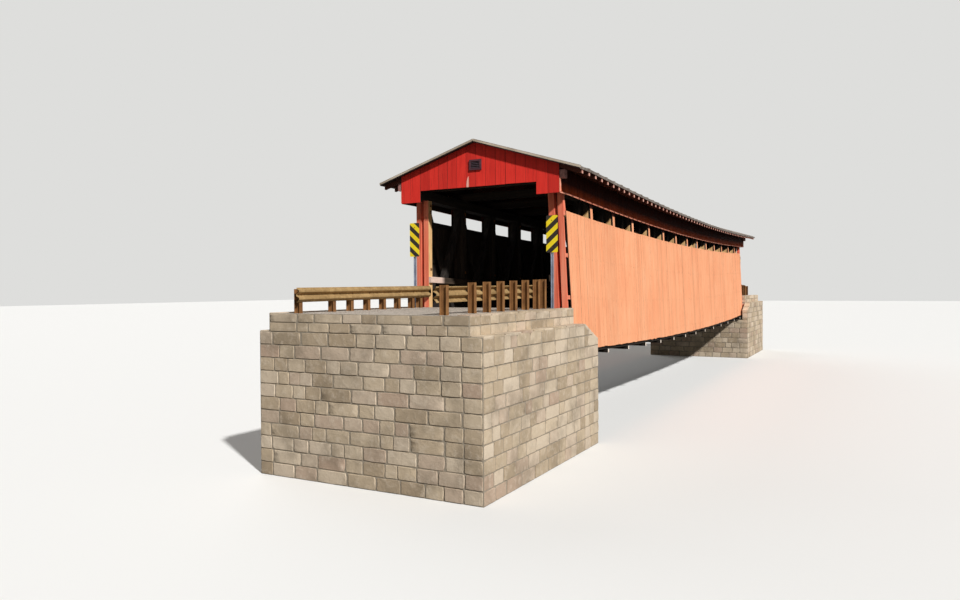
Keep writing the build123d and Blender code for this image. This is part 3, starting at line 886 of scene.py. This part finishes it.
def vents():
    """A louvred vent in each gable: a frame with slats that shed the rain."""
    pieces = []
    rim = 0.045
    for end in (-1, 1):
        box = block("box", (-VENT_HALF_WIDTH, end * GABLE_OUTER, VENT_FOOT),
                    (VENT_HALF_WIDTH, end * (GABLE_OUTER + 0.040), VENT_TOP))
        edit(box, Vector((0, end, 0)))
        bpy.ops.mesh.inset(thickness=rim)
        bpy.ops.mesh.extrude_region_move(TRANSFORM_OT_translate={"value": (0, -end * 0.032, 0)})
        settle()
        box.data.materials.append(trim_finish)
        slat = plank("slat", ((VENT_HALF_WIDTH - rim) * 2 - 0.002, 0.034, 0.006), 0.001, slat_finish)
        slats = copies("slats", slat, [spot((0, end * (GABLE_OUTER + 0.021), VENT_FOOT + rim * (k + 1.5)),
                                            turn=(end * -0.75, 0, 0)) for k in range(4)])
        discard(slat)
        pieces += [box, slats]
    fit(join("gable_louvres", *pieces), None, "vent_grey", "gable_vents")


# Roof

def roof(side, word):
    """Boards under weathered sheet metal with standing seams, and edge strips along eave and rakes."""
    chance = random.Random(81 + side)
    length = EAVE / math.cos(PITCH)
    rows = 15
    row_width = length / rows
    size = (0.195, PANEL * 2, 0.024)
    level = size[2] / 2 - ROOF_THICKNESS * math.cos(PITCH)
    board = plank("board", size, 0.002, under_roof)
    boards = []
    for row in range(rows):
        stops = [-ROOF_END] + NODES[row % 2::2] + [ROOF_END]
        for start, end in zip(stops, stops[1:]):
            boards.append(spot((side * (row + 0.5) * row_width, (start + end) / 2, level),
                               ((row_width - 0.006) / size[0], (end - start - 0.004) / size[1], 1),
                               tone=chance.random()))
    deck = copies("deck", board, boards)
    sheet_count, seam_width = 44, 0.016
    width = ROOF_END * 2 / sheet_count
    sheet = block("sheet", (-length / 2, -width / 2, -0.002), (length / 2, width / 2, 0.002))
    edit(sheet, Vector((0, 0, 1)))
    bpy.ops.mesh.subdivide(number_cuts=5)
    bpy.ops.transform.vertex_random(offset=0.0016, seed=5)
    settle()
    sheet.data.materials.append(roof_finish)
    middle = side * length / 2
    sheets = copies("sheets", sheet, [spot((middle, -ROOF_END + width * (k + 0.5), -0.003),
                                           tone=chance.random()) for k in range(sheet_count)])
    seam = plank("seam", (length, seam_width, 0.026), 0.004, roof_finish)
    first, step = seam_width / 2 - ROOF_END, width - seam_width / sheet_count
    seams = copies("seams", seam, [spot((middle, first + step * k, 0.010), tone=chance.random())
                                   for k in range(sheet_count + 1)])
    drip = plank("drip", (0.010, ROOF_END * 2, 0.062), 0.002, roof_finish)
    drip.location = (side * (length - 0.004), 0, -0.029)
    hold_still(drip)
    rake = plank("rake", (length, 0.010, 0.044), 0.002, edge_finish)
    rakes = copies("rakes", rake, [spot((middle, end * (ROOF_END + 0.004), -0.015)) for end in (-1, 1)])
    half = join(f"roof_covering_{word}", deck, sheets, seams, drip, rakes)
    half.rotation_euler = (0, side * PITCH, 0)
    half.location = (0, 0, RIDGE)
    hold_still(half)
    cut_at_nodes(half)
    lay_on_bridge(half)
    fit(half, None, "roof_metal", f"roof_{word}")
    discard(board, sheet, seam, rake)


# Floor

def deck():
    """Planks across the road."""
    chance = random.Random(101)
    low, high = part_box("deck")
    count, thickness = 120, 0.09
    pitch = (high.y - low.y) / count
    board = plank("board", (high.x - low.x, pitch, thickness), 0.005)
    boards = []
    for k in range(count):
        centre = ((low.x + high.x) / 2 + chance.uniform(-0.003, 0.003), low.y + pitch * (k + 0.5),
                  DECK - thickness / 2 + chance.uniform(-0.002, 0.003))
        factors = (1 - chance.uniform(0, 0.002), (pitch - chance.uniform(0.003, 0.008)) / pitch, 1)
        boards.append(spot(centre, factors, tone=chance.random()))
    planks = copies("deck_planking", board, boards)
    lay_on_bridge(planks)
    fit(planks, deck_finish, "deck_planks", "deck")
    discard(board)


def truss_bolts():
    """Bolts with square washers through the truss posts, on the road side."""
    washer = plank("washer", (0.008, 0.075, 0.075), 0.002)
    settle()
    bpy.ops.mesh.primitive_cylinder_add(vertices=6, radius=0.020, depth=0.018, location=(0.011, 0, 0),
                                        rotation=(0, math.pi / 2, 0))
    head = hold_still(bpy.context.object)
    edit(head)
    bpy.ops.mesh.bevel(offset=0.002, segments=1, affect="EDGES")
    bolt = join("bolt", washer, head)
    for side, word in ((1, "right"), (-1, "left")):
        places = [spot((side * TRUSS_FACE, y + (0.03 if height > 1 else -0.03), DECK + height),
                       turn=facing(-side))
                  for y in NODES for height in (-0.55, -0.25, 0.38, 1.05, 2.62, 2.80)]
        bolts = copies(f"truss_bolts_{word}", bolt, places)
        lay_on_bridge(bolts, side)
        fit(bolts, post_rust, "rusted_steel")
    discard(bolt)


# Abutments

ABUTMENT_HALF_WIDTH, HEAD_HALF_WIDTH = 2.75, 2.47
LEDGE = DECK - 0.39
CHEEK_FRONT_TOP = LEDGE - 0.43
CHEEK_INNER_LEFT, CHEEK_INNER_RIGHT = 2.26, 2.463
FRONT_LEFT, FRONT_RIGHT = 2.275, 2.475
BACKWALL = HALF_LENGTH + 0.03
BACKWALL_LEFT, BACKWALL_RIGHT = (-2.24, -1.73), (1.88, 2.44)
SEAT_FRONT = BACKWALL - 1.0
CHEEK_SLOPE = (LEDGE - CHEEK_FRONT_TOP) / (BACKWALL - SEAT_FRONT)
ABUTMENT_BACK = BACKWALL + 5.3
SEAT = DECK - 1.34
COURSES = [LEDGE * k / 11 for k in range(12)] + [DECK - 0.19]
PROUD = 0.018
JOINT = 0.014
STONE_DEPTH = 0.09


def stone_models():
    """Six rough blocks, one metre each way, to be sized to their places."""
    models = []
    for seed in range(6):
        stone = block(f"stone_{seed}", (-0.5, -0.5, -0.5), (0.5, 0.5, 0.5))
        edit(stone)
        bpy.ops.mesh.subdivide(number_cuts=3)
        bpy.ops.mesh.vertices_smooth(factor=0.35, repeat=1)
        bpy.ops.transform.vertex_random(offset=0.035, seed=seed + 3)
        settle()
        low = [min(v.co[k] for v in stone.data.vertices) for k in range(3)]
        high = [max(v.co[k] for v in stone.data.vertices) for k in range(3)]
        stone.scale = [1 / (b - a) for a, b in zip(low, high)]
        models.append(hold_still(stone))
    return models


def run_of_stones(chance, start, end):
    """Cut points along a course, with stones about 0.3 to 0.8 m long."""
    points = [start]
    while end - points[-1] > 0.95:
        points.append(points[-1] + chance.choice((0.34, 0.45, 0.58, 0.76)) + chance.uniform(-0.05, 0.05))
    if end - points[-1] > 0.6:
        points.append((points[-1] + end) / 2)
    return points + [end]


def abutment_faces():
    """The walls to be faced: axis along, the face's place and outward sign, its ends and its levels."""
    wide, head = ABUTMENT_HALF_WIDTH, HEAD_HALF_WIDTH
    faces = []
    for side in (-1, 1):
        faces += [("y", side * wide, side, BACKWALL, ABUTMENT_BACK, 0.0, LEDGE),
                  ("y", side * head, side, BACKWALL, ABUTMENT_BACK, LEDGE, DECK)]
    return faces + [("x", *face) for face in (
        (ABUTMENT_BACK, 1, -wide, wide, 0.0, LEDGE),
        (ABUTMENT_BACK, 1, -head, head, LEDGE, DECK),
        (SEAT_FRONT, -1, -wide, wide, 0.0, SEAT),
        (SEAT_FRONT, -1, -wide, -FRONT_LEFT, SEAT, CHEEK_FRONT_TOP),
        (SEAT_FRONT, -1, FRONT_RIGHT, wide, SEAT, CHEEK_FRONT_TOP),
        (BACKWALL, -1, *BACKWALL_LEFT, SEAT, LEDGE),
        (BACKWALL, -1, -head, BACKWALL_LEFT[1], LEDGE, DECK),
        (BACKWALL, -1, *BACKWALL_RIGHT, SEAT, LEDGE),
        (BACKWALL, -1, BACKWALL_RIGHT[0], head, LEDGE, DECK))]


def face_stones(chance, end, face):
    """Places of the stones over one wall of an abutment."""
    along, wall, out, start, stop, low, high = face
    levels = [low] + [z for z in COURSES if low + 0.1 < z < high - 0.1] + [high]
    places = []
    for foot, top in zip(levels, levels[1:]):
        points = run_of_stones(chance, start, stop)
        for first, last in zip(points, points[1:]):
            middle = wall + out * (PROUD - STONE_DEPTH / 2 + chance.uniform(-0.006, 0.004))
            centre = (first + last) / 2
            length = last - first - JOINT
            across, ahead = (centre, middle) if along == "x" else (middle, centre)
            wide, deep = (length, STONE_DEPTH) if along == "x" else (STONE_DEPTH, length)
            places.append(spot((across, end * ahead, (foot + top) / 2), (wide, deep, top - foot - JOINT),
                               tone=chance.random()))
    return places


def cap_stones(chance, end):
    """Flat stones along the road's edges, on the ledges and down the cheeks."""
    places = []
    width = 0.29
    for side in (-1, 1):
        for middle, level in ((HEAD_HALF_WIDTH - 0.13, DECK - 0.015),
                              ((HEAD_HALF_WIDTH + ABUTMENT_HALF_WIDTH) / 2 + 0.015, LEDGE - 0.012)):
            points = run_of_stones(chance, BACKWALL, ABUTMENT_BACK)
            for first, last in zip(points, points[1:]):
                places.append(spot((side * middle, end * (first + last) / 2, level),
                                   (width, last - first - JOINT, 0.066), tone=chance.random()))
    for side, inner in ((-1, CHEEK_INNER_LEFT), (1, CHEEK_INNER_RIGHT)):
        for share in (0.25, 0.755):
            y = BACKWALL + (SEAT_FRONT - BACKWALL) * share
            z = LEDGE + (CHEEK_FRONT_TOP - LEDGE) * share
            places.append(spot((side * ((inner + ABUTMENT_HALF_WIDTH) / 2 + 0.01), end * y, z - 0.012),
                               (ABUTMENT_HALF_WIDTH - inner + 0.02, 0.53, 0.08),
                               (end * math.atan(CHEEK_SLOPE), 0, 0), chance.random()))
    return places


def laid(name, chance, models, places):
    """Stones of all six kinds at their places, as one piece."""
    kinds = [[] for model in models]
    for place in places:
        kinds[chance.randrange(6)].append(place)
    return join(name, *[copies(name, model, spots) for model, spots in zip(models, kinds) if spots])


def masonry_skin(end, word, models):
    """Coursed rough stone over an abutment, proud of its joints."""
    chance = random.Random(141 + end)
    places = cap_stones(chance, end)
    for face in abutment_faces():
        places += face_stones(chance, end, face)
    walls = laid("walls", chance, models, places)
    cheek_places = []
    for side in (-1, 1):
        cheek = ("y", side * ABUTMENT_HALF_WIDTH, side, SEAT_FRONT, BACKWALL, 0.0, LEDGE)
        cheek_places += face_stones(chance, end, cheek)
    cheeks = laid("cheeks", chance, models, cheek_places)
    cut_off(cheeks, (0, end * BACKWALL, LEDGE), Vector((0, -end * CHEEK_SLOPE, 1)).normalized())
    skin = join(f"{word}_stonework", walls, cheeks)
    pick(skin)
    bpy.ops.object.shade_smooth_by_angle(angle=math.radians(40))
    fit(skin, stone_finish, "stone")


# Rails and markers

def guard_rails(word):
    """The two-wave steel beams with rounded folds, bolted to their posts."""
    node = f"{word}_guard_rails"
    rail = new_object(f"{word}_wave_rails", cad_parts[node].data.copy())
    edit(rail)
    bpy.ops.mesh.remove_doubles(threshold=0.0001)
    bpy.ops.mesh.dissolve_limited(angle_limit=math.radians(1))
    settle()
    bevel = rail.modifiers.new("folds", "BEVEL")
    bevel.width = 0.016
    bevel.segments = 4
    bevel.limit_method = "ANGLE"
    bevel.angle_limit = math.radians(12)
    pick(rail)
    bpy.ops.object.modifier_apply(modifier=bevel.name)
    bpy.ops.object.shade_smooth_by_angle(angle=math.radians(35))
    fit(rail, rail_finish, "rusted_steel", node)


def rail_bolts():
    """A bolt through the rail's middle fold at every post, and two through each striped sheet."""
    bolt = round_head(8, 0.017, 0.012, 0.007, 0.005)
    places = []
    for end, side in CORNERS:
        for distance in RAIL_POSTS:
            centre = (side * RAIL_FOLD, end * (HALF_LENGTH + distance), RAIL_LEVEL - RAIL_FALL * distance)
            places.append(spot(centre, turn=facing(-side)))
        for height in (1.51, 2.18):
            centre = (side * MARKER_PLACE, end * (MARKER_DISTANCE + 0.004), DECK + height)
            places.append(spot(centre, (0.7, 0.7, 0.7), (0, 0, end * math.pi / 2)))
    fit(copies("rail_bolts", bolt, places), post_rust, "rusted_steel")
    discard(bolt)


def marker_plates():
    """Striped sheets with rounded corners."""
    pieces = []
    half = Vector(MARKER_SIZE) / 2
    for end, side in CORNERS:
        middle = Vector((side * MARKER_PLACE, end * MARKER_DISTANCE, MARKER_FOOT + half.z))
        sheet = block("sheet", middle - half, middle + half)
        edit(sheet)
        bpy.ops.mesh.select_mode(type="EDGE")
        bpy.ops.mesh.select_all(action="DESELECT")
        bpy.ops.object.mode_set(mode="OBJECT")
        for edge in sheet.data.edges:
            first, last = (sheet.data.vertices[k].co for k in edge.vertices)
            edge.select = abs(first.y - last.y) > 0.002
        bpy.ops.object.mode_set(mode="EDIT")
        bpy.ops.mesh.bevel(offset=0.03, segments=5, affect="EDGES")
        settle()
        pieces.append(sheet)
    fit(join("striped_plates", *pieces), stripe_finish, "marker_yellow", "marker_plates")


side_wall(1, "right")
side_wall(-1, "left")
eave_band(1, "right")
eave_band(-1, "left")
gable(-1, "near")
gable(1, "far")
splinter()
vents()
roof(1, "right")
roof(-1, "left")
deck()
truss_bolts()
stones = stone_models()
masonry_skin(-1, "near", stones)
masonry_skin(1, "far", stones)
discard(*stones)
guard_rails("near")
guard_rails("far")
rail_bolts()
marker_plates()
discard(sag_cage, lean_cage)


# Floor and light

def sun(name, energy, spread, direction):
    """A far lamp that shines from a direction."""
    lamp = bpy.data.lights.new(name, "SUN")
    lamp.energy, lamp.angle = energy, math.radians(spread)
    new_object(name, lamp).rotation_euler = Vector(direction).to_track_quat("Z", "Y").to_euler()


settle()
bpy.ops.mesh.primitive_plane_add(size=400, location=(0, 0, 0))
ground = bpy.context.object
ground.name = "studio_floor"
painted_sunlight = Finish("studio_floor")
seen_by_camera = painted_sunlight.add("ShaderNodeLightPath").outputs["Is Camera Ray"]
floor_colour = painted_sunlight.mix(seen_by_camera, (116, 115, 112), (240, 239, 236))
ground.data.materials.append(painted_sunlight.done(floor_colour, 0.9, gloss=0.1))
sun("key", 4.12, 2.5, (1.65, -1.0, 1.42))
sun("fill", 0.85, 50, (-1.8, 1.1, 1.2))

world = bpy.data.worlds.new("studio")
bpy.context.scene.world = world
world.use_nodes = True
sky = world.node_tree
sky.nodes.clear()
rays = new_node(sky, "ShaderNodeLightPath").outputs
seen = rays["Is Camera Ray"]
for ray in ("Is Glossy Ray", "Is Transmission Ray"):
    seen = new_node(sky, "ShaderNodeMath", seen, rays[ray], operation="MAXIMUM").outputs[0]
lit = new_node(sky, "ShaderNodeBackground", (1, 1, 1, 1), 0.14).outputs[0]
backdrop = new_node(sky, "ShaderNodeBackground", shade(222, 222, 220), 1.0).outputs[0]
blend = new_node(sky, "ShaderNodeMixShader", seen, lit, backdrop).outputs[0]
new_node(sky, "ShaderNodeOutputWorld", blend)
bpy.context.scene.view_settings.view_transform = "Standard"
